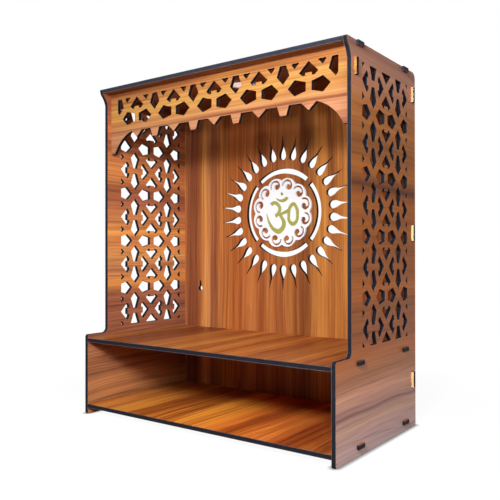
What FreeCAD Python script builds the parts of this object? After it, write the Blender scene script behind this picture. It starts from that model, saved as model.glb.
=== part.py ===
import FreeCAD, Part
import math
import os

# A flat-pack home temple cut from thin laminated board. The boards slot into
# one another by tabs. X is the width, -Y the open front, Z up. The origin is
# on the floor, in the middle of the base. All lengths are in millimetres.

# Overall sizes
width = 407.0
height = 470.0
base_depth = 220.0
upper_depth = 183.0
roof_depth = 193.0
board = 5.5

# Side panel outline
step_height = 113.0
step_fillet = 7.0
nose_radius = 3.5
foot_radius = 2.5
crown_radius = 8.0
cornice_height = 22.0
cornice_mid_rise = 14.0
cornice_mid_reach = 7.6
ovolo_bulge = 1.1
cavetto_hollow = 0.5

# Tabs and slots
tab_proud = 3.0
slot_gap = 0.15
level_tab_length = 15.0
front_tab_from_upper_front = 19.0
rear_tab_from_back = 36.0
upright_tab_length = 20.0
valance_tab_from_roof = 24.5
back_tab_from_roof = 25.5
back_tab_low = 62.0

# Boards between the sides
shelf_drop = 5.0
floor_top = 14.0
valance_inset = 7.0
back_inset = 7.5

# Lattice of knots, one tile repeated both ways
tile = 72.0
window_margin = 26.5
window_above_step = 8.25
window_below_roof = 15.75
pentagon_root = 4.0
pentagon_root_half = 5.4
pentagon_waist = 19.5
pentagon_half = 9.7
hole_tip = 29.5
kite_root = 3.8
kite_root_half = 3.7
kite_waist = 19.2
kite_half = 9.2
spade_corner = 16.8
spade_half = 13.2
spade_lobe = 12.6
spade_lobe_half = 8.6
spade_notch = 16.0
spade_notch_half = 4.6

# Valance, its heights measured down from the roof
valance_drop = 88.0
valance_edge_drop = 57.5
valance_knot_drop = 38.5
valance_window_margin = 14.5
valance_window_drop = 8.8
valance_window_height = 39.9
point_tooth_half = 10.3
point_tooth_length = 9.4
flat_tooth_half = 8.3
flat_tooth_tip_half = 4.6
flat_tooth_length = 11.8
arch_width = 35.5
arch_toe = 8.0
arch_bulge = 5.0

# Sun cut through the back panel, its middle a little above that of the niche
sun_lift = 4.35
flame_count = 30
flame_head_radius = 5.95
flame_head_distance = 85.4
flame_belly_run = 9.6
flame_belly_half = 3.7
flame_neck_run = 20.6
flame_neck_half = 1.1
flame_tip_distance = 116.5
flame_tip_half = 0.35
flame_swell = 0.57
flame_hollow = 0.66
ring_outer = 67.0
ring_inner = 59.2
ring_arcs = 4
ring_gap = 8.0

# Keyholes for hanging, one on each side of the sun
keyhole_from_side = 34.5
keyhole_height = 171.5
keyhole_radius = 4.2
keyhole_slot = 3.2
keyhole_rise = 12.5

# Medallion with a curl cut in each scallop of its rim
medallion_radius = 52.9
medallion_thickness = 3.0
valley_depth = 4.7
curl_count = 12
curl_inset = 11.7
curl_offset = 1.1
curl_radius = 7.9
curl_width = 2.8
curl_start = 104.0
curl_hook = -52.0
curl_end = -84.0
curl_bulge = 2.1
eye_radius = 3.95
eye_inset = 13.2
eye_offset = -1.1
eye_hook = -40.0

# Om on the medallion
om_height = 62.0
om_thickness = 1.0
om_right = 2.2
om_drop = 1.0

# Slim round light under the roof
puck_radius = 20.0
puck_thickness = 2.5
puck_from_front = 80.0

# Places worked out from the sizes above
outer = width / 2
inner = outer - board
front = -base_depth / 2
back = base_depth / 2
upper_front = back - upper_depth
roof_front = back - roof_depth
roof_under = height - board
shelf_top = step_height - shelf_drop
back_rear = back - back_inset
back_face = back_rear - board
valance_face = upper_front + valance_inset
medallion_face = back_face - medallion_thickness
sun_height = (shelf_top + roof_under) / 2 + sun_lift
level_tab_places = (upper_front + front_tab_from_upper_front, back - rear_tab_from_back)
back_tab_high = roof_under - back_tab_from_roof
back_tab_middle = (back_tab_low + back_tab_high) / 2 + board
quarter_turn = math.pi / 2
half_circle = math.degrees(2 * quarter_turn)


def across(y):
    """Turns (x, z) into a point on the upright plane at this y."""
    return lambda x, z: FreeCAD.Vector(x, y, z)


def along(x):
    """Turns (y, z) into a point on the upright plane at this x."""
    return lambda y, z: FreeCAD.Vector(x, y, z)


def polygon(corners, place):
    """A closed outline with straight sides."""
    points = [place(a, b) for a, b in corners]
    return Part.makePolygon(points + points[:1])


def line(start, end):
    return Part.LineSegment(start, end).toShape()


def arc(start, middle, end):
    return Part.Arc(start, middle, end).toShape()


def closed_path(stops):
    """A closed outline. A stop of three points is an arc, one of one point a
    corner, and straight sides join the stops."""
    edges = []
    last = stops[-1][-1]
    for stop in stops:
        if not last.isEqual(stop[0], slot_gap / 10):
            edges.append(line(last, stop[0]))
        if len(stop) == 3:
            edges.append(arc(*stop))
        last = stop[-1]
    return Part.Wire(edges)


def rounded(centre, radius, quadrant, place):
    """The three points of a quarter-round corner, counter-clockwise."""
    turns = [(quadrant + part / 2) * quarter_turn for part in range(3)]
    return [
        place(centre[0] + radius * math.cos(turn), centre[1] + radius * math.sin(turn))
        for turn in turns
    ]


def bulged(start, end, bulge, place):
    """The three points of an arc that bulges to the right of start to end."""
    run = (end[0] - start[0], end[1] - start[1])
    share = bulge / math.hypot(*run)
    middle_a = (start[0] + end[0]) / 2 + run[1] * share
    middle_b = (start[1] + end[1]) / 2 - run[0] * share
    return [place(*start), place(middle_a, middle_b), place(*end)]


def box(low, high):
    """A block between two opposite corners."""
    size = [b - a for a, b in zip(low, high)]
    return Part.makeBox(size[0], size[1], size[2], FreeCAD.Vector(*low))


def plate(outline, holes, thickness_vector):
    """A board with through holes, grown from one face to the other."""
    face = Part.makeFace([outline] + holes, "Part::FaceMakerBullseye")
    return face.extrude(thickness_vector)


# Lattice holes, each pointing away from its knot along the first axis
pentagon = [
    (pentagon_root, -pentagon_root_half),
    (pentagon_waist, -pentagon_half),
    (hole_tip, 0),
    (pentagon_waist, pentagon_half),
    (pentagon_root, pentagon_root_half),
]
kite = [
    (kite_root, -kite_root_half),
    (kite_waist, -kite_half),
    (hole_tip, 0),
    (kite_waist, kite_half),
    (kite_root, kite_root_half),
]
spade = [
    (spade_notch, -spade_notch_half),
    (spade_lobe, -spade_notch_half),
    (spade_lobe, -spade_lobe_half),
    (spade_corner, -spade_half),
    (hole_tip, 0),
    (spade_corner, spade_half),
    (spade_lobe, spade_lobe_half),
    (spade_lobe, spade_notch_half),
    (spade_notch, spade_notch_half),
]
right, up, left, down = range(4)


def knot_hole(shape, direction, a, b):
    """One lattice hole, turned by quarter turns and moved to its knot."""
    corners = shape
    for _ in range(direction):
        corners = [(-q, p) for p, q in corners]
    return [(a + p, b + q) for p, q in corners]


def trimmed(holes, low, high, place):
    """The outlines of the holes that lie within a rectangular window."""
    frame = [(low[0], low[1]), (high[0], low[1]), (high[0], high[1]), (low[0], high[1])]
    window = Part.Face(polygon(frame, place))
    wires = []
    for hole in holes:
        reach_a = [a for a, b in hole]
        reach_b = [b for a, b in hole]
        inside_a = low[0] < min(reach_a) and max(reach_a) < high[0]
        inside_b = low[1] < min(reach_b) and max(reach_b) < high[1]
        outside_a = max(reach_a) <= low[0] or min(reach_a) >= high[0]
        outside_b = max(reach_b) <= low[1] or min(reach_b) >= high[1]
        if inside_a and inside_b:
            wires.append(polygon(hole, place))
        elif not (outside_a or outside_b):
            cut = Part.Face(polygon(hole, place)).common(window)
            wires.extend(face.OuterWire for face in cut.Faces)
    return wires


def side_lattice(place):
    """Upright and level knots in turn, with a crossing at the window's middle."""
    low = (upper_front + window_margin, step_height + window_above_step)
    high = (back - window_margin, roof_under - window_below_roof)
    middle = ((low[0] + high[0]) / 2, (low[1] + high[1]) / 2)
    columns = int((high[0] - low[0]) / tile) + 2
    rows = int((high[1] - low[1]) / tile) + 2
    holes = []
    for column in range(-columns, columns + 1):
        for row in range(-rows, rows + 1):
            if (column + row) % 2 == 0:
                continue
            a = middle[0] + column * tile / 2
            b = middle[1] + row * tile / 2
            upright = column % 2 == 0
            level_hole = pentagon if upright else spade
            upright_hole = spade if upright else kite
            holes.append(knot_hole(level_hole, right, a, b))
            holes.append(knot_hole(level_hole, left, a, b))
            holes.append(knot_hole(upright_hole, up, a, b))
            holes.append(knot_hole(upright_hole, down, a, b))
    return trimmed(holes, low, high, place)


def side_outline(place):
    """The side panel: stepped front, flared cornice and rounded corners."""
    cornice_foot = height - cornice_height
    cornice_mid = (upper_front - cornice_mid_reach, cornice_foot + cornice_mid_rise)
    hollow_centre = (upper_front - step_fillet, step_height + step_fillet)
    hollow = rounded(hollow_centre, step_fillet, 3, place)
    return closed_path([
        rounded((back - foot_radius, foot_radius), foot_radius, 3, place),
        rounded((back - crown_radius, height - crown_radius), crown_radius, 0, place),
        bulged((roof_front, height), cornice_mid, cavetto_hollow, place),
        bulged(cornice_mid, (upper_front, cornice_foot), -ovolo_bulge, place),
        hollow[::-1],
        rounded((front + nose_radius, step_height - nose_radius), nose_radius, 1, place),
        rounded((front + foot_radius, foot_radius), foot_radius, 2, place),
    ])


def slot(middle_y, middle_z, size_y, size_z, place):
    """A rectangular slot with the fitting gap all round."""
    half_y = size_y / 2 + slot_gap
    half_z = size_z / 2 + slot_gap
    corners = [
        (middle_y - half_y, middle_z - half_z),
        (middle_y + half_y, middle_z - half_z),
        (middle_y + half_y, middle_z + half_z),
        (middle_y - half_y, middle_z + half_z),
    ]
    return polygon(corners, place)


def side_slots(place):
    """The closed slots for the shelf, floor, back panel and valance tabs."""
    half = board / 2
    slots = []
    for y in level_tab_places:
        for top in (shelf_top, floor_top):
            slots.append(slot(y, top - half, level_tab_length, board, place))
    for z in (back_tab_low, back_tab_middle, back_tab_high):
        slots.append(slot(back_face + half, z, board, upright_tab_length, place))
    z = roof_under - valance_tab_from_roof
    slots.append(slot(valance_face + half, z, board, upright_tab_length, place))
    return slots


def side_panel(x_low):
    """A side panel with its lattice, tab slots and open-topped roof notches."""
    place = along(x_low)
    holes = side_lattice(place) + side_slots(place)
    panel = plate(side_outline(place), holes, FreeCAD.Vector(board, 0, 0))
    for y in level_tab_places:
        half = level_tab_length / 2 + slot_gap
        notch = box(
            (x_low - board, y - half, roof_under - slot_gap),
            (x_low + 2 * board, y + half, height + board),
        )
        panel = panel.cut(notch)
    return panel


def level_board(y_front, y_back, top):
    """A level board with two tabs on each end."""
    low = top - board
    shape = box((-inner, y_front, low), (inner, y_back, top))
    reach = outer + tab_proud
    for y in level_tab_places:
        half = level_tab_length / 2
        shape = shape.fuse(box((-reach, y - half, low), (reach, y + half, top)))
    return shape.removeSplitter()


def teeth(edge_height, arch_start):
    """Corners of the lower edge: pointed and flat teeth in turn, half a tile apart."""
    corners = [(-arch_start, edge_height)]
    steps = int((arch_start - point_tooth_half) / (tile / 2))
    for step in range(-steps, steps + 1):
        x = step * tile / 2
        if step % 2 == 0:
            corners.append((x - point_tooth_half, edge_height))
            corners.append((x, edge_height - point_tooth_length))
            corners.append((x + point_tooth_half, edge_height))
        else:
            corners.append((x - flat_tooth_half, edge_height))
            corners.append((x - flat_tooth_tip_half, edge_height - flat_tooth_length))
            corners.append((x + flat_tooth_tip_half, edge_height - flat_tooth_length))
            corners.append((x + flat_tooth_half, edge_height))
    corners.append((arch_start, edge_height))
    return corners


def valance_outline(place):
    """The valance: tabs at the ends, arched corners and a toothed lower edge."""
    arch_end = inner - arch_toe
    arch_start = arch_end - arch_width
    toe_height = roof_under - valance_drop
    edge_height = roof_under - valance_edge_drop
    tab_middle = roof_under - valance_tab_from_roof
    tab_low = tab_middle - upright_tab_length / 2
    tab_high = tab_middle + upright_tab_length / 2
    reach = outer + tab_proud
    right_end = [
        (inner, toe_height),
        (inner, tab_low),
        (reach, tab_low),
        (reach, tab_high),
        (inner, tab_high),
        (inner, roof_under),
    ]
    left_end = [(-x, z) for x, z in reversed(right_end)]
    stops = [bulged((-arch_end, toe_height), (-arch_start, edge_height), -arch_bulge, place)]
    stops += [[place(x, z)] for x, z in teeth(edge_height, arch_start)]
    stops += [bulged((arch_start, edge_height), (arch_end, toe_height), -arch_bulge, place)]
    stops += [[place(x, z)] for x, z in right_end + left_end]
    return closed_path(stops)


def valance_lattice(place):
    """One row of the lattice, cut off by the upper edge of its window."""
    knot_height = roof_under - valance_knot_drop
    high = (inner - valance_window_margin, roof_under - valance_window_drop)
    low = (-high[0], high[1] - valance_window_height)
    steps = int(2 * high[0] / tile) + 1
    holes = []
    for step in range(-steps, steps + 1):
        x = step * tile / 2
        if step % 2 == 0:
            holes.append(knot_hole(pentagon, right, x, knot_height))
            holes.append(knot_hole(pentagon, left, x, knot_height))
            holes.append(knot_hole(spade, up, x, knot_height))
        else:
            level_knot = knot_height + tile / 2
            holes.append(knot_hole(kite, down, x, level_knot))
            holes.append(knot_hole(spade, right, x, level_knot))
            holes.append(knot_hole(spade, left, x, level_knot))
    return trimmed(holes, low, high, place)


def valance():
    place = across(valance_face)
    return plate(valance_outline(place), valance_lattice(place), FreeCAD.Vector(0, board, 0))


def polar(distance, turn, offset, place):
    """A point at a distance from the sun's middle, and offset to the left."""
    x = distance * math.cos(turn) - offset * math.sin(turn)
    z = distance * math.sin(turn) + offset * math.cos(turn)
    return place(x, sun_height + z)


def flame(turn, place):
    """A drop-shaped ray: a round head whose sides swell, then hollow into a
    long narrow tail."""
    def at(run, half):
        return polar(flame_head_distance + run, turn, half, place)

    head = flame_head_radius
    tip_run = flame_tip_distance - flame_head_distance
    belly = (flame_belly_run, flame_belly_half)
    neck = (flame_neck_run, flame_neck_half)
    far_belly = (flame_belly_run, -flame_belly_half)
    far_neck = (flame_neck_run, -flame_neck_half)
    return closed_path([
        [at(0, head), at(-head, 0), at(0, -head)],
        bulged((0, -head), far_belly, flame_swell, at),
        bulged(far_belly, far_neck, -flame_hollow, at),
        [at(tip_run, -flame_tip_half)],
        [at(tip_run, flame_tip_half)],
        bulged(neck, belly, -flame_hollow, at),
        bulged(belly, (0, head), flame_swell, at),
    ])


def ring_arc(middle_turn, place):
    """One curved slot of the ring round the medallion."""
    half = math.pi / ring_arcs - ring_gap / (ring_outer + ring_inner)
    turns = (middle_turn - half, middle_turn, middle_turn + half)
    return closed_path([
        [polar(ring_outer, turn, 0, place) for turn in turns],
        [polar(ring_inner, turn, 0, place) for turn in reversed(turns)],
    ])


def keyhole(x, place):
    """A hanging hole: a round mouth with a narrow slot rising from it."""
    half = keyhole_slot / 2
    join = keyhole_height + math.sqrt(keyhole_radius**2 - half**2)
    slot_end = keyhole_height + keyhole_rise
    mouth_bottom = place(x, keyhole_height - keyhole_radius)
    return closed_path([
        [place(x + half, join), mouth_bottom, place(x - half, join)],
        [place(x - half, slot_end)],
        [place(x + half, slot_end)],
    ])


def back_outline(place):
    """The back board with three tabs on each side."""
    reach = outer + tab_proud
    half = upright_tab_length / 2
    right_side = [(inner, floor_top - board)]
    for middle in (back_tab_low, back_tab_middle, back_tab_high):
        right_side.append((inner, middle - half))
        right_side.append((reach, middle - half))
        right_side.append((reach, middle + half))
        right_side.append((inner, middle + half))
    right_side.append((inner, roof_under))
    left_side = [(-x, z) for x, z in reversed(right_side)]
    return polygon(right_side + left_side, place)


def back_panel():
    """The back board with the sun and the hanging holes cut through it."""
    place = across(back_face)
    holes = []
    for index in range(flame_count):
        holes.append(flame(quarter_turn + index * 2 * math.pi / flame_count, place))
    for index in range(ring_arcs):
        holes.append(ring_arc(index * 2 * math.pi / ring_arcs, place))
    for side in (-1, 1):
        holes.append(keyhole(side * (inner - keyhole_from_side), place))
    return plate(back_outline(place), holes, FreeCAD.Vector(0, board, 0))


def curl(turn, place):
    """A curled cut: a band round most of a circle that runs into a round eye."""
    def spot(inset, offset, radius, degrees):
        local = math.radians(degrees)
        distance = medallion_radius - inset + radius * math.cos(local)
        return (distance, offset + radius * math.sin(local))

    def at(point):
        return polar(point[0], turn, point[1], place)

    def band(radius, start, end):
        angles = (start, (start + end) / 2, end)
        return [spot(curl_inset, curl_offset, radius, degrees) for degrees in angles]

    def eye(start, end):
        angles = (start, (start + end) / 2, end)
        return [spot(eye_inset, eye_offset, eye_radius, degrees) for degrees in angles]

    outer_band = band(curl_radius + curl_width / 2, curl_start, curl_end)
    inner_band = band(curl_radius - curl_width / 2, curl_hook, curl_start)
    eye_arc = eye(half_circle, eye_hook)
    return closed_path([
        [at(point) for point in outer_band],
        bulged(outer_band[-1], eye_arc[0], -curl_bulge, lambda a, b: at((a, b))),
        [at(point) for point in eye_arc],
        [at(point) for point in inner_band],
    ])


def scroll_medallion():
    """A thin disc with a scalloped rim and a curl cut in each scallop."""
    place = across(medallion_face)
    pitch = 2 * math.pi / curl_count
    valley = medallion_radius - valley_depth
    rim = []
    curls = []
    for index in range(curl_count):
        turn = (index + 0.5) * pitch
        start = polar(valley, turn - pitch / 2, 0, place)
        end = polar(valley, turn + pitch / 2, 0, place)
        rim.append([start, polar(medallion_radius, turn, 0, place), end])
        curls.append(curl(turn, place))
    return plate(closed_path(rim), curls, FreeCAD.Vector(0, medallion_thickness, 0))


# The Om as brush strokes: places across and up from its middle, and widths,
# in hundredths of its height
upper_bowl = [(-33, 22, 9), (-23, 26, 8), (-13, 21, 8), (-8, 10, 8), (-13, 0, 8.5), (-21.5, -6.5, 8)]
lower_bowl = [
    (-12, -1, 4),
    (-3, -10, 8),
    (3.5, -25, 10.5),
    (-9.5, -43.5, 12),
    (-31, -34, 8.5),
    (-42, -16, 4.5),
    (-47.5, 1, 0.8),
]
link = [(-9, -6, 6), (1, 0, 7), (11, 4, 7.5), (20, 9, 7)]
bowl_over = [
    (17.2, -12, 6.5),
    (18, 3, 7),
    (22.5, 15.5, 8),
    (30.5, 21, 9),
    (39, 13, 8),
    (42.5, -3, 7.5),
    (40.8, -15, 5.5),
]
bowl_under = [(42.4, -7, 6), (38.5, -21, 7.5), (29.5, -26.5, 9), (21, -22, 8), (17.4, -9, 6.5)]
crescent = [(-18.5, 38, 1), (-10, 32, 5), (0, 30, 7.5), (8, 33, 8), (13.5, 38, 7)]
dot = [(-4, 50.5, 3), (-2.5, 47.5, 6.5), (-0.5, 44, 5)]


def brush(stroke, place):
    """A flat stroke whose two edges are smooth curves beside its middle line."""
    unit = om_height / 100
    centre = (om_right, sun_height - om_drop)
    points = [(centre[0] + x * unit, centre[1] + z * unit) for x, z, _ in stroke]
    widths = [stroke_width * unit for _, _, stroke_width in stroke]
    spine = Part.BSplineCurve()
    spine.interpolate([place(x, z) for x, z in points])
    sides = ([], [])
    for (x, z), stroke_width in zip(points, widths):
        tangent = spine.tangent(spine.parameter(place(x, z)))[0]
        for side, sign in zip(sides, (-1, 1)):
            offset = sign * stroke_width / 2
            side.append(place(x - tangent.z * offset, z + tangent.x * offset))
    edges = [line(sides[0][0], sides[1][0]), line(sides[0][-1], sides[1][-1])]
    for side in sides:
        curve = Part.BSplineCurve()
        curve.interpolate(side)
        edges += [piece.toShape() for piece in curve.toBiArcs(slot_gap)]
    outline = Part.Wire(Part.__sortEdges__(edges))
    return Part.Face(outline).extrude(FreeCAD.Vector(0, om_thickness, 0))


def om_piece(strokes):
    """Brush strokes joined into one piece on the front of the medallion."""
    place = across(medallion_face - om_thickness)
    shape = brush(strokes[0], place)
    for stroke in strokes[1:]:
        shape = shape.fuse(brush(stroke, place))
    return shape.removeSplitter()


def puck_light():
    """A slim round light, stuck to the roof's underside."""
    centre = FreeCAD.Vector(0, roof_front + puck_from_front, roof_under - puck_thickness)
    return Part.makeCylinder(puck_radius, puck_thickness, centre)


def build_nodes():
    """Every piece of the temple by name."""
    return {
        "side_panel_left": side_panel(-outer),
        "side_panel_right": side_panel(inner),
        "back_panel": back_panel(),
        "roof_panel": level_board(roof_front, back_rear, height),
        "shelf_panel": level_board(front, back_face, shelf_top),
        "floor_panel": level_board(front, back_face, floor_top),
        "valance": valance(),
        "scroll_medallion": scroll_medallion(),
        "om_letter": om_piece([upper_bowl, lower_bowl, link, bowl_over, bowl_under]),
        "om_crescent": om_piece([crescent]),
        "om_dot": om_piece([dot]),
        "puck_light": puck_light(),
    }


os.makedirs("parts", exist_ok=True)
for name, shape in build_nodes().items():
    shape.exportStep("parts/" + name + ".step")
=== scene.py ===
import math

import bpy
from mathutils import Matrix, Vector


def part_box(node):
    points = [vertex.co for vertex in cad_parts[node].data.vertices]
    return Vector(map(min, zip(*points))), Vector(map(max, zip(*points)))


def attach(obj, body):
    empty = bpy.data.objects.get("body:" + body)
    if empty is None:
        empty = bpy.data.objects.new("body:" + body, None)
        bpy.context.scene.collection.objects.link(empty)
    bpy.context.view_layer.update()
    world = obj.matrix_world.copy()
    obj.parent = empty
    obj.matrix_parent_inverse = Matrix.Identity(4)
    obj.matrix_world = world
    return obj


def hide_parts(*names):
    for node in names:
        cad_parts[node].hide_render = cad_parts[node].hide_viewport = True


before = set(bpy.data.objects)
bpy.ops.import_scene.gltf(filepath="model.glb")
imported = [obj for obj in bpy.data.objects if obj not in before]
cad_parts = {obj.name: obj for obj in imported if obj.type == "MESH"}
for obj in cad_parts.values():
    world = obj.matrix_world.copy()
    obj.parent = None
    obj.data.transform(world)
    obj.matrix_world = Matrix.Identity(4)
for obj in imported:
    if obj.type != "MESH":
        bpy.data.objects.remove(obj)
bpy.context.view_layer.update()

# Side panels
# The two sides are 5.5 mm fibre board with printed walnut laminate pressed on both faces. A laser
# cuts their outline, lattice and slots and leaves every cut edge charred dark. The grain of the
# print runs from front to back.
TO_RIGHT, TO_BACK, UP = (1, 0, 0), (0, 1, 0), (0, 0, 1)
side_low, side_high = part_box("side_panel_right")
BOARD = side_high.x - side_low.x
LAMINATE_SKIN = 0.0005
CHAR_BLACK = "#191a24"
CHAR_BROWN = "#171114"
# The pale grey of the skin lines is partly the laminate's own skin and partly a painted highlight on
# the corners of the cut.
SKIN_GREY_AND_PAINTED_HIGHLIGHT = "#5b5254"


def linear(hex_colour):
    """Turns an sRGB hex colour to linear RGBA."""
    parts = [int(hex_colour[i : i + 2], 16) / 255 for i in (1, 3, 5)]
    return [
        c / 12.92 if c <= 0.04045 else ((c + 0.055) / 1.055) ** 2.4 for c in parts
    ] + [1.0]


def add(tree, kind, sockets=None, stops=None, **settings):
    """Adds one node with its settings, its sockets set or linked, and a ramp's stops.

    A node given for a socket stands for its first output.
    """
    made = tree.nodes.new(kind)
    for name, value in settings.items():
        setattr(made, name, value)
    for name, value in (sockets or {}).items():
        if isinstance(value, bpy.types.Node):
            value = value.outputs[0]
        if isinstance(value, bpy.types.NodeSocket):
            tree.links.new(value, made.inputs[name])
        else:
            made.inputs[name].default_value = value
    if stops:
        elements = made.color_ramp.elements
        while len(elements) < len(stops):
            elements.new(0.5)
        for element, (place, colour) in zip(elements, stops):
            element.position = place
            element.color = linear(colour) if isinstance(colour, str) else colour
    return made


def finish_tree(name):
    """A new material with an empty tree, and its output node."""
    made = bpy.data.materials.new(name)
    made.use_nodes = True
    made.node_tree.nodes.clear()
    out = made.node_tree.nodes.new("ShaderNodeOutputMaterial")
    return made, made.node_tree, out


def dress(node, material):
    """Gives a piece of the frame its material."""
    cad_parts[node].data.materials[0] = material


def streaks(tree, grain, brush):
    """The tone of the print, about 0.5 and lower where it is darker, and its finest layer.

    Stretches of the sheet are 30 mm wide, streaks 7 mm and fibres 1.7 mm, all many times longer
    than wide. The real pores are 0.3 mm wide and are drawn as coarse as the fibres.
    """
    layers = (
        ((0.9, 33.0, 1.0), 0.0, 0.4),
        ((2.4, 150.0, 1.0), 2.0, 0.3 * brush),
        ((9.0, 600.0, 1.0), 2.0, 0.4 * brush),
    )
    tone = 0.5 - sum(gain for scale, detail, gain in layers) / 2
    for scale, detail, gain in layers:
        place = add(tree, "ShaderNodeMapping", {"Vector": grain, "Scale": scale})
        layer = add(
            tree, "ShaderNodeTexNoise", {"Vector": place, "Scale": 1.0, "Detail": detail}
        )
        tone = add(
            tree, "ShaderNodeMath", {0: layer, 1: gain, 2: tone}, operation="MULTIPLY_ADD"
        )
    return tone, layer


def growth_lines(tree, grain, tone, arcs):
    """How deep each place is in a growth line.

    Growth lines are level lines of a slow field, which closes them in long arcs. They are strong
    in the darker stretches and faint in the lighter ones.
    """
    levels, sharpness = 15.0, 9.0
    place = add(tree, "ShaderNodeMapping", {"Vector": grain, "Scale": (0.55, 13.0, 1.0)})
    field = add(
        tree,
        "ShaderNodeTexNoise",
        {"Vector": place, "Scale": 1.0, "Detail": 1.0, "Roughness": 0.35},
    )
    risen = add(tree, "ShaderNodeMath", {0: field, 1: levels}, operation="MULTIPLY")
    rise = add(tree, "ShaderNodeMath", {0: risen}, operation="FRACT")
    line = add(tree, "ShaderNodeMath", {0: rise, 1: sharpness}, operation="POWER")
    strength = add(
        tree,
        "ShaderNodeMapRange",
        {"Value": tone, "From Min": 0.6, "From Max": 0.44, "To Min": 0.3 * arcs, "To Max": arcs},
    )
    return add(tree, "ShaderNodeMath", {0: line, 1: strength}, operation="MULTIPLY")


def band_tint(tree, place, bands):
    """The tint of the dark and light stretches of the sheet, at their places across the grain."""
    ramp_share = 8.0
    first, last = bands[0][0], bands[-1][0]
    run = add(tree, "ShaderNodeMapRange", {"Value": place, "From Min": first, "From Max": last})
    # The ramp holds eighths of the factors, because its colours end at 1.
    ramp = add(
        tree,
        "ShaderNodeValToRGB",
        {"Fac": run},
        [
            ((metres - first) / (last - first), [f / ramp_share for f in factors] + [1.0])
            for metres, factors in bands
        ],
    )
    return add(tree, "ShaderNodeVectorMath", {0: ramp, "Scale": ramp_share}, operation="SCALE")


def charred_edge(tree, where, depth, chars):
    """The colour of a cut: the fibre core under soot, with the laminate's skins as thin lines.

    The soot is uneven over about 6 mm. A pale skin tone is partly a painted highlight on the corners
    of the cut.
    """
    soot = add(tree, "ShaderNodeTexNoise", {"Vector": where, "Scale": 160.0, "Detail": 3.0})
    sooted = add(
        tree, "ShaderNodeValToRGB", {"Fac": soot}, [(0.35, chars[0]), (0.75, chars[1])]
    )
    in_skin = add(
        tree,
        "ShaderNodeMath",
        {0: depth, 1: BOARD / 2 - LAMINATE_SKIN},
        operation="GREATER_THAN",
    )
    edge = add(
        tree, "ShaderNodeMix", {0: in_skin, 6: sooted, 7: linear(chars[2])}, data_type="RGBA"
    )
    return edge.outputs[2]


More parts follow.
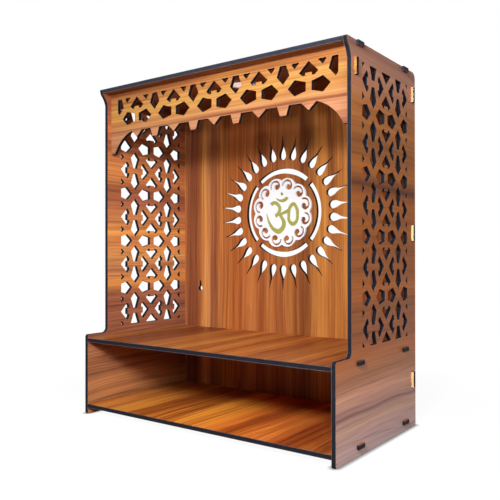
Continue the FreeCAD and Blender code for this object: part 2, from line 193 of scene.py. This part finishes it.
def laminate(
    node,
    along,
    face,
    colours,
    bands,
    shift,
    waver=0.006,
    arcs=0.3,
    brush=1.0,
    chars=(CHAR_BLACK, CHAR_BROWN, SKIN_GREY_AND_PAINTED_HIGHLIGHT),
):
    """Dresses a laser-cut board in walnut laminate.

    Printed and embossed, so it is satin, with long soft streaks, growth lines that build up
    slowly and end sharply, faint cathedral arcs, and fine pores. along and face are the
    directions of the grain and out of the board. colours are four tones of the streaks, from
    dark to light, and that of the growth lines. bands tint stretches across the grain, as
    (metres, factors). shift is the board's place on the printed sheet, waver is about how many
    metres the grain strays, arcs and brush are the strengths of the growth lines and of the
    streaks, and chars are two tones of the cut edge and that of its skins.
    """
    made, tree, out = finish_tree("walnut_laminate_" + node)
    along, face = Vector(along), Vector(face)
    low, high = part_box(node)
    where = add(tree, "ShaderNodeTexCoord").outputs["Object"]
    turned = add(
        tree,
        "ShaderNodeMapping",
        {"Vector": where, "Rotation": Matrix((along, face.cross(along), face)).to_euler()},
    )
    apart = add(tree, "ShaderNodeSeparateXYZ", {0: turned})
    # The two faces of a board come from different sheets, so depth is stretched.
    sheets_apart = 400.0
    sheet = add(
        tree,
        "ShaderNodeMapping",
        {
            "Vector": turned,
            "Location": (shift, shift * 0.7, shift * 1.3),
            "Scale": (1.0, 1.0, sheets_apart),
        },
    )
    # The grain strays by a few millimetres over 250 mm of length.
    slow = add(tree, "ShaderNodeMapping", {"Vector": sheet, "Scale": (4.0, 9.0, 1.0)})
    wave = add(tree, "ShaderNodeTexNoise", {"Vector": slow, "Scale": 1.0, "Detail": 2.0})
    stray = add(
        tree, "ShaderNodeMath", {0: wave, 1: waver * 4, 2: -waver * 2}, operation="MULTIPLY_ADD"
    )
    sideways = add(tree, "ShaderNodeCombineXYZ", {"Y": stray})
    grain = add(tree, "ShaderNodeVectorMath", {0: sheet, 1: sideways}, operation="ADD")
    tone, fibre = streaks(tree, grain, brush)
    wood = add(
        tree,
        "ShaderNodeValToRGB",
        {"Fac": tone},
        [(0.34, colours[0]), (0.45, colours[1]), (0.53, colours[2]), (0.64, colours[3])],
    )
    veined = add(
        tree,
        "ShaderNodeMix",
        {0: growth_lines(tree, grain, tone, arcs), 6: wood, 7: linear(colours[4])},
        data_type="RGBA",
    )
    across = add(tree, "ShaderNodeMath", {0: apart.outputs["Y"], 1: stray}, operation="ADD")
    face_colour = add(
        tree,
        "ShaderNodeMix",
        {0: 1.0, 6: veined.outputs[2], 7: band_tint(tree, across, bands)},
        data_type="RGBA",
        blend_type="MULTIPLY",
    )
    middle = face.dot(low + high) / 2
    off_middle = add(
        tree, "ShaderNodeMath", {0: apart.outputs["Z"], 1: middle}, operation="SUBTRACT"
    )
    depth = add(tree, "ShaderNodeMath", {0: off_middle}, operation="ABSOLUTE")
    edge_colour = charred_edge(tree, where, depth, chars)
    # What faces out of the board, within 45 degrees, is laminate, and all else is a cut edge.
    least_facing = 0.7
    normal = add(tree, "ShaderNodeNewGeometry").outputs["True Normal"]
    facing = add(tree, "ShaderNodeVectorMath", {0: normal, 1: face}, operation="DOT_PRODUCT")
    facing_size = add(
        tree, "ShaderNodeMath", {0: facing.outputs["Value"]}, operation="ABSOLUTE"
    )
    on_face = add(tree, "ShaderNodeMath", {0: facing_size, 1: least_facing}, operation="GREATER_THAN")
    colour = add(
        tree,
        "ShaderNodeMix",
        {0: on_face, 6: edge_colour, 7: face_colour.outputs[2]},
        data_type="RGBA",
    )
    sheen = add(
        tree,
        "ShaderNodeMapRange",
        {"Value": fibre, "From Min": 0.3, "From Max": 0.7, "To Min": 0.46, "To Max": 0.36},
    )
    char_roughness = 0.7
    roughness = add(
        tree, "ShaderNodeMix", {0: on_face, 2: char_roughness, 3: sheen}, data_type="FLOAT"
    )
    emboss = add(
        tree, "ShaderNodeBump", {"Strength": 0.12, "Distance": 0.0002, "Height": fibre}
    )
    satin = add(
        tree,
        "ShaderNodeBsdfPrincipled",
        {
            "Base Color": colour.outputs[2],
            "Roughness": roughness,
            "IOR": 1.5,
            "Specular IOR Level": 0.14,
            "Normal": emboss,
        },
    )
    tree.links.new(satin.outputs[0], out.inputs["Surface"])
    dress(node, made)


# The right sheet turns from pinkish grey at the foot, with one thin dark line in it, to orange
# brown, with one narrow dark band above the middle. The paler, pinker grey of its lower part is a
# painted reflection of the pale floor in the satin sheet. The left one is a lighter, yellower piece.
# The factors of the bands, here and on the other boards, started from tones measured in strips
# of the photograph, and were then rounded and partly changed.
side_walnut = ("#6f3f2b", "#865133", "#965a39", "#a7693f", "#43251b")
right_bands_with_painted_reflection = [
    # Painted reflection: up to about 84 mm the sheet is paler and pinker, with the pale floor
    # mirrored in it.
    (0.006, (1.8, 3.4, 7.9)),
    (0.025, (2.0, 3.3, 7.0)),
    (0.036, (2.5, 4.0, 6.8)),
    (0.0445, (2.2, 3.3, 6.0)),
    (0.0470, (0.9, 1.1, 1.9)),
    (0.0490, (2.1, 3.0, 5.6)),
    (0.068, (2.1, 2.9, 4.6)),
    (0.084, (1.6, 1.8, 2.0)),
    (0.110, (1.1, 0.9, 0.6)),
    (0.190, (1.2, 1.0, 0.4)),
    (0.225, (0.8, 0.65, 0.35)),
    (0.260, (1.1, 0.95, 0.4)),
    (0.294, (1.0, 0.8, 0.4)),
    (0.308, (0.35, 0.3, 0.25)),
    (0.324, (1.2, 1.1, 0.5)),
    (0.400, (1.3, 1.3, 0.8)),
    (0.445, (1.5, 2.0, 3.2)),
]
left_bands = [
    (0.0, (1.4, 1.7, 1.6)),
    (0.165, (1.2, 1.2, 1.6)),
    (0.185, (1.8, 2.0, 1.3)),
    (0.205, (1.6, 1.8, 1.9)),
    (0.225, (2.3, 3.0, 2.3)),
    (0.245, (1.6, 1.6, 1.4)),
    (0.265, (2.1, 2.4, 1.7)),
    (0.305, (1.1, 1.0, 1.3)),
    (0.345, (1.7, 1.7, 1.4)),
    (0.410, (1.5, 1.4, 1.3)),
    (0.440, (0.9, 0.8, 0.9)),
]
for node, bands, shift, brush in (
    ("side_panel_right", right_bands_with_painted_reflection, 3.1, 0.6),
    ("side_panel_left", left_bands, 8.4, 1.3),
):
    laminate(
        node, TO_BACK, TO_RIGHT, side_walnut, bands, shift, waver=0.005, arcs=0.45, brush=brush
    )

# Back board
# The same laminated board, full height, with its grain upright. The sun, the ring round the
# medallion and two keyholes for wall screws are cut right through it by the laser. Its tabs,
# which stand out of the sides, are painted pale, a painted highlight of the front light. Its right
# edge behind the right side's lattice is painted dark, which is painted shade. Its cut walls get a
# blacker char and darker skins: the char's own colour with painted shade.
# A blacker char for cut walls that stand in shade: the char's own colour with painted shade.
CHAR_WITH_PAINTED_SHADE = "#070508"
# Painted highlight: the faces of the tabs are tinted pale, as the front light makes them.
painted_highlight_tab_tint = (1.9, 3.1, 7.9)
laminate(
    "back_panel",
    UP,
    TO_BACK,
    ("#7a3d19", "#975223", "#aa632a", "#c27c36", "#40190f"),
    [
        (-0.204, painted_highlight_tab_tint),
        (-0.198, (1.5, 2.0, 3.3)),
        (-0.185, (0.7, 0.75, 1.8)),
        (-0.172, (0.6, 0.55, 1.2)),
        (-0.155, (1.6, 2.1, 3.0)),
        (-0.140, (0.95, 1.05, 2.3)),
        (-0.115, (1.7, 2.2, 2.8)),
        (-0.100, (1.2, 1.25, 1.5)),
        (-0.070, (0.95, 0.9, 1.3)),
        (0.0, (1.0, 1.1, 1.6)),
        (0.045, (0.85, 1.0, 1.35)),
        (0.065, (1.1, 1.25, 1.5)),
        (0.100, (1.35, 1.75, 2.0)),
        (0.115, (1.4, 1.85, 2.0)),
        # Painted shade: from here to the right edge, behind the right side's lattice, the back is
        # darker.
        (0.128, (0.7, 0.65, 0.8)),
        (0.198, (0.6, 0.5, 0.6)),
        (0.204, painted_highlight_tab_tint),
    ],
    shift=5.2,
    waver=0.004,
    arcs=0.5,
    brush=0.9,
    chars=(CHAR_WITH_PAINTED_SHADE, CHAR_WITH_PAINTED_SHADE, CHAR_BROWN),
)

# Roof board
# A plain laminated board whose four tabs drop into open notches in the tops of the sides. Its
# grain runs from side to side, and its long front edge catches the light, so its char is greyer.
laminate(
    "roof_panel",
    TO_RIGHT,
    UP,
    ("#5f2e18", "#8a4a26", "#a05c30", "#b5713c", "#3d1d12"),
    [(-0.11, (1.0, 1.0, 1.0)), (0.0, (0.9, 0.9, 0.9)), (0.11, (1.0, 1.0, 1.0))],
    shift=6.6,
    chars=("#2b2f3c", "#25262f", SKIN_GREY_AND_PAINTED_HIGHLIGHT),
)

# Shelf and compartment floor
# Two alike laminated boards whose tabs slot into the sides. Their grain runs from front to back,
# and their bands are given from left to right. The last stop of each darkens the tops of the right
# tabs, which is painted shade.
shelf_bands = [
    (-0.2, (0.75, 0.75, 0.9)),
    (-0.15, (0.65, 0.65, 0.9)),
    (-0.1, (0.85, 0.85, 1.1)),
    (0.06, (0.9, 0.8, 0.9)),
    (0.09, (1.0, 1.0, 1.1)),
    (0.12, (0.7, 0.6, 0.75)),
    (0.2, (0.85, 0.8, 0.9)),
    # Painted shade: the tops of the right tabs are darker.
    (0.203, (0.55, 0.5, 0.9)),
]
floor_bands = [
    (-0.2, (0.95, 0.9, 1.0)),
    (-0.06, (1.4, 1.45, 1.0)),
    (0.0, (1.45, 1.35, 0.9)),
    (0.025, (1.15, 0.8, 0.6)),
    (0.06, (1.6, 1.4, 1.1)),
    (0.12, (1.05, 0.75, 0.75)),
    (0.15, (0.72, 0.52, 0.5)),
    (0.2, (0.95, 0.85, 0.85)),
    # Painted shade: the tops of the right tabs are darker.
    (0.203, (0.55, 0.5, 0.9)),
]
for node, bands, shift in (("shelf_panel", shelf_bands, 1.7), ("floor_panel", floor_bands, 9.3)):
    # The direction across this grain points left, so the places are turned round.
    turned_bands = [(-metres, factors) for metres, factors in reversed(bands)]
    laminate(
        node,
        TO_BACK,
        UP,
        ("#733617", "#9a5324", "#b96d30", "#d6903f", "#4a2112"),
        turned_bands,
        shift,
    )

# Valance
# The pierced board under the roof, with its grain from side to side. Its upper half came from a
# golden stretch of the laminate and its lower edge from a redder one. The strip just under the roof
# is painted lighter still, which is painted light against the roof's shadow. Its cut walls get the
# blacker char: the char's own colour with painted shade.
TO_FRONT = (0, -1, 0)
laminate(
    "valance",
    TO_RIGHT,
    TO_FRONT,
    ("#7f4724", "#9c5f2a", "#b57834", "#cc9545", "#542c19"),
    [
        (0.376, (0.74, 0.68, 1.8)),
        (0.4065, (0.78, 0.7, 1.7)),
        (0.409, (0.42, 0.3, 0.55)),
        (0.4115, (0.8, 0.76, 1.5)),
        (0.425, (0.88, 0.86, 1.2)),
        (0.440, (0.92, 1.0, 1.3)),
        (0.453, (0.9, 0.85, 1.3)),
        # Painted light: the strip just under the roof is lighter, against the roof's shadow.
        (0.465, (1.25, 1.3, 1.9)),
    ],
    shift=2.3,
    waver=0.003,
    # The blacker char of the cut walls is the char's own colour with painted shade.
    chars=(CHAR_WITH_PAINTED_SHADE, CHAR_BROWN, SKIN_GREY_AND_PAINTED_HIGHLIGHT),
)

# Scroll medallion
# Gloss white acrylic sheet, cut by laser with a scalloped rim and twelve curls, and glued to the
# back board. A cast sheet is level to the touch but not flat, so its gloss breaks up over about
# 30 mm.


def plastic(name, scale, detail, tints, relief, relief_depth, finish):
    """A plastic with a slight relief, whose tint and surface follow one noise."""
    made, tree, out = finish_tree(name)
    where = add(tree, "ShaderNodeTexCoord").outputs["Object"]
    texture = add(
        tree, "ShaderNodeTexNoise", {"Vector": where, "Scale": scale, "Detail": detail}
    )
    tint = add(
        tree, "ShaderNodeValToRGB", {"Fac": texture}, [(0.3, tints[0]), (0.7, tints[1])]
    )
    bump = add(
        tree,
        "ShaderNodeBump",
        {"Strength": relief, "Distance": relief_depth, "Height": texture},
    )
    surface = add(
        tree, "ShaderNodeBsdfPrincipled", {"Base Color": tint, "Normal": bump, **finish}
    )
    tree.links.new(surface.outputs[0], out.inputs["Surface"])
    return made


acrylic = plastic(
    "white_cast_acrylic",
    scale=35.0,
    detail=1.0,
    tints=("#edf1f7", "#f5f8fc"),
    relief=0.05,
    relief_depth=0.001,
    finish={"Roughness": 0.22, "IOR": 1.49},
)
dress("scroll_medallion", acrylic)

# Om sign
# Three pieces of gold-surfaced acrylic 1 mm thick, glued to the medallion: the letter, the
# crescent and the dot. The sign is the traditional one.
gold, tree, out = finish_tree("gold_surfaced_acrylic")
where = add(tree, "ShaderNodeTexCoord").outputs["Object"]
# The metal film is brushed; its lines are 0.1 mm apart and drawn 0.6 mm apart.
brushed_place = add(tree, "ShaderNodeMapping", {"Vector": where, "Scale": (60.0, 60.0, 1600.0)})
brushed = add(
    tree, "ShaderNodeTexNoise", {"Vector": brushed_place, "Scale": 1.0, "Detail": 2.0}
)
tint = add(tree, "ShaderNodeValToRGB", {"Fac": brushed}, [(0.3, "#a2a04a"), (0.7, "#b5b45c")])
shine = add(tree, "ShaderNodeMapRange", {"Value": brushed, "To Min": 0.3, "To Max": 0.45})
film = add(
    tree,
    "ShaderNodeBsdfPrincipled",
    {"Base Color": tint, "Metallic": 0.25, "Roughness": shine},
)
tree.links.new(film.outputs[0], out.inputs["Surface"])
for node in ("om_letter", "om_crescent", "om_dot"):
    dress(node, gold)

# Round light
# A slim battery light stuck under the roof: a moulded ring round a slightly domed frosted lens.
# Its lens is given a weak glow, painted light that stands in for its bright look.
light_low, light_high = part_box("puck_light")
light_middle = (light_low + light_high) / 2
roof_side, room_side = light_high.z, light_low.z
LIGHT_RADIUS = 0.0200
MOUTH_RADIUS = 0.0166
LENS_RADIUS = 0.0165


def pulled(name, profile, sides, lid, material):
    """A moulded round piece: a circle pulled out ring by ring along (radius, height) stops."""
    bpy.ops.object.select_all(action="DESELECT")
    radius, level = profile[0]
    bpy.ops.mesh.primitive_circle_add(
        vertices=sides, radius=radius, location=(light_middle.x, light_middle.y, level)
    )
    piece = bpy.context.object
    piece.name = name
    bpy.ops.object.mode_set(mode="EDIT")
    bpy.ops.mesh.select_all(action="SELECT")
    for next_radius, next_level in profile[1:]:
        bpy.ops.mesh.extrude_region_move(
            TRANSFORM_OT_translate={"value": (0, 0, next_level - level)}
        )
        ratio = next_radius / radius
        bpy.ops.transform.resize(
            value=(ratio, ratio, 1),
            center_override=(light_middle.x, light_middle.y, next_level),
        )
        radius, level = next_radius, next_level
    if lid:
        bpy.ops.mesh.edge_face_add()
    bpy.ops.mesh.select_all(action="SELECT")
    bpy.ops.mesh.remove_doubles(threshold=0.00001)
    bpy.ops.mesh.normals_make_consistent(inside=False)
    bpy.ops.object.mode_set(mode="OBJECT")
    bpy.ops.object.transform_apply(location=True, rotation=True, scale=True)
    bpy.ops.object.shade_smooth_by_angle(angle=math.radians(50))
    piece.data.materials.append(material)
    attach(piece, "root")
    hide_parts("puck_light")


# The frosting is a fine grit, drawn 1 mm wide.
lens_plastic_with_painted_glow = plastic(
    "frosted_polycarbonate",
    scale=900.0,
    detail=2.0,
    tints=("#e6cdc6", "#efdcd6"),
    relief=0.3,
    relief_depth=0.0003,
    finish={
        "Roughness": 0.3,
        "IOR": 1.58,
        # Painted light: the lens glows weakly.
        "Emission Color": linear("#f4dcd2"),
        "Emission Strength": 0.8,
    },
)
# Moulded plastic is even in colour, with a faint spark-eroded texture 0.5 mm wide.
ring_plastic = plastic(
    "white_abs_moulding",
    scale=2000.0,
    detail=1.0,
    tints=("#d9cfcc", "#e2d9d6"),
    relief=0.15,
    relief_depth=0.0001,
    finish={"Roughness": 0.42, "IOR": 1.54},
)
pulled(
    "light_ring",
    [
        (LIGHT_RADIUS, roof_side),
        (LIGHT_RADIUS, roof_side - 0.0015),
        (0.0197, room_side + 0.0005),
        (0.0190, room_side + 0.0001),
        (0.0184, room_side),
        (0.0174, room_side),
        (0.0169, room_side + 0.0002),
        (MOUTH_RADIUS, room_side + 0.0007),
        (MOUTH_RADIUS, roof_side),
        (LIGHT_RADIUS, roof_side),
    ],
    sides=72,
    lid=False,
    material=ring_plastic,
)
pulled(
    "light_lens",
    [
        (LENS_RADIUS, roof_side),
        (LENS_RADIUS, room_side + 0.0012),
        (0.0150, room_side + 0.0009),
        (0.0120, room_side + 0.0006),
        (0.0080, room_side + 0.0003),
        (0.0040, room_side + 0.0001),
        (0.0010, room_side + 0.00005),
    ],
    sides=64,
    lid=True,
    material=lens_plastic_with_painted_glow,
)

# Floor
# The plain pale surface that the temple stands on. It shows white to the camera, keeps the lamps'
# soft shadow of the temple, and has a painted contact shade round its foot.
bpy.ops.object.select_all(action="DESELECT")
bpy.ops.mesh.primitive_plane_add(size=8.0, location=(0, 0, 0))
floor = bpy.context.object
floor.name = "floor_sheet"
paper, tree, out = finish_tree("white_backdrop_paper")
lit = add(tree, "ShaderNodeBsdfDiffuse", {"Color": linear("#6c6c6e"), "Roughness": 0.5})
dim = add(tree, "ShaderNodeBsdfDiffuse", {"Color": linear("#3e3e40"), "Roughness": 0.5})
where = add(tree, "ShaderNodeTexCoord").outputs["Object"]
distance = add(tree, "ShaderNodeVectorMath", {0: where}, operation="LENGTH")
# Near the temple the paper shows its shadow, and further off it is plain white.
far = add(
    tree,
    "ShaderNodeMapRange",
    {
        "Value": distance.outputs["Value"],
        "From Min": 0.3,
        "From Max": 0.7,
        "To Min": 0.95,
        "To Max": 1.0,
    },
    interpolation_type="SMOOTHSTEP",
)
# Painted contact shade: it darkens within 7.5 mm of what stands on it, from occlusion and not from
# the lamps.
painted_shade_occlusion = add(tree, "ShaderNodeAmbientOcclusion", {"Distance": 0.0075}, samples=16)
painted_contact_shade = add(tree, "ShaderNodeMath", {0: painted_shade_occlusion.outputs["AO"], 1: 2.6}, operation="POWER")
glow = add(tree, "ShaderNodeMath", {0: far, 1: painted_contact_shade}, operation="MULTIPLY")
white = add(tree, "ShaderNodeEmission", {"Color": (1, 1, 1, 1), "Strength": glow})
shown = add(tree, "ShaderNodeAddShader", {0: dim, 1: white})
path = add(tree, "ShaderNodeLightPath")
seen = add(
    tree,
    "ShaderNodeMath",
    {0: path.outputs["Is Camera Ray"], 1: path.outputs["Is Transmission Ray"]},
    operation="MAXIMUM",
)
seen_or_mirrored = add(
    tree, "ShaderNodeMath", {0: seen, 1: path.outputs["Is Glossy Ray"]}, operation="MAXIMUM"
)
choice = add(tree, "ShaderNodeMixShader", {0: seen_or_mirrored, 1: lit, 2: shown})
tree.links.new(choice.outputs[0], out.inputs["Surface"])
floor.data.materials.append(paper)

# Surroundings
# An evenly lit pale studio: white where it is seen, dimmer where it is mirrored, because only the
# ground is white in the mirrorings of the real boards, and soft as light.
world = bpy.data.worlds.new("studio")
bpy.context.scene.world = world
world.use_nodes = True
tree = world.node_tree
tree.nodes.clear()
out = tree.nodes.new("ShaderNodeOutputWorld")
path = add(tree, "ShaderNodeLightPath")
seen = add(
    tree,
    "ShaderNodeMath",
    {0: path.outputs["Is Camera Ray"], 1: path.outputs["Is Transmission Ray"]},
    operation="MAXIMUM",
)
mirrored = add(
    tree,
    "ShaderNodeMapRange",
    {"Value": path.outputs["Is Glossy Ray"], "To Min": 0.03, "To Max": 0.4},
)
brightness = add(tree, "ShaderNodeMath", {0: seen, 1: mirrored}, operation="MAXIMUM")
studio = add(tree, "ShaderNodeBackground", {"Color": (1, 1, 1, 1), "Strength": brightness})
tree.links.new(studio.outputs[0], out.inputs["Surface"])

# Lamps
# A small soft lamp beside the camera at the height of the roof, which throws the shadows of the
# valance and the shelf, a broad one far off to the right for the side panel, a broad one above
# the front for the shelf and the left of the valance, and a broad one behind for the rear.
for name, place, aim, size, power in (
    ("front_lamp", (0.35, -0.69, 0.484), (0, 0, 0.24), 0.135, 7.2),
    ("right_lamp", (1.9, -1.1, 0.9), (0.2, 0, 0.2), 0.9, 28.0),
    ("top_lamp", (-0.5, -1.5, 1.4), (0, 0, 0.24), 1.0, 11.0),
    ("back_lamp", (-0.7, 1.9, 1.1), (0, 0, 0.24), 1.2, 7.0),
):
    data = bpy.data.lights.new(name, "AREA")
    data.shape = "SQUARE"
    data.size = size
    data.energy = power
    lamp = bpy.data.objects.new(name, data)
    bpy.context.scene.collection.objects.link(lamp)
    lamp.location = place
    lamp.rotation_euler = (Vector(aim) - Vector(place)).to_track_quat("-Z", "Y").to_euler()

# Camera
# It stands in front, well to the right, at about half the temple's height and nearly level, as
# for the photograph. Its place and lens were solved from the photograph.
camera_data = bpy.data.cameras.new("camera")
camera_data.sensor_width = 36.0
camera_data.lens = 46.14
camera = bpy.data.objects.new("camera", camera_data)
bpy.context.scene.collection.objects.link(camera)
camera.location = (0.5337, -0.7127, 0.2300)
camera.rotation_euler = (math.radians(90.25), math.radians(0.06), math.radians(36.32))
bpy.context.scene.camera = camera

bpy.context.scene.view_settings.view_transform = "Standard"
